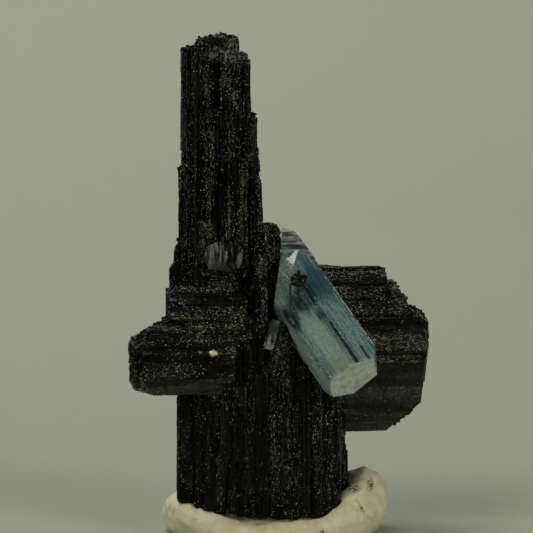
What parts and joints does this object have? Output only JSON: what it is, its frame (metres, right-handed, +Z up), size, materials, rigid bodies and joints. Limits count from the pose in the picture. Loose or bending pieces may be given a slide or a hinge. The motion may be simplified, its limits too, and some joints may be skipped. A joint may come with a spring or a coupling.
{
  "type": "aquamarine mineral specimen on schorl",
  "caption": "Blue beryl prism grown slantwise on a cluster of black, fluted tourmaline crystals, held upright by a roll of cream mounting putty.",
  "frame": {"origin": "middle of the flat underside of the mounting putty, on the surface that the specimen stands on", "axes": "+Z up along the tall black column, +X to the right of the display side, +Y away from the display side"},
  "size_m": [0.0309, 0.0219, 0.052],
  "materials": {
    "schorl": "black, striated, vitreous, peppered with fine gold and pale grains",
    "aquamarine": "pale to teal blue, clear at the edges and milky inside",
    "clear_crystal": "bluish, clear, ribbed",
    "yellow_grain": "yellow, waxy",
    "putty": "cream, soft, matte, kneaded by hand"
  },
  "bodies": {
    "root": {"schorl_cluster": "schorl", "aquamarine": "aquamarine", "schorl_needle": "schorl", "small_aquamarine": "aquamarine", "glassy_tablet": "clear_crystal", "yellow_grain": "yellow_grain", "mounting_putty": "putty"}
  },
  "joints": []
}
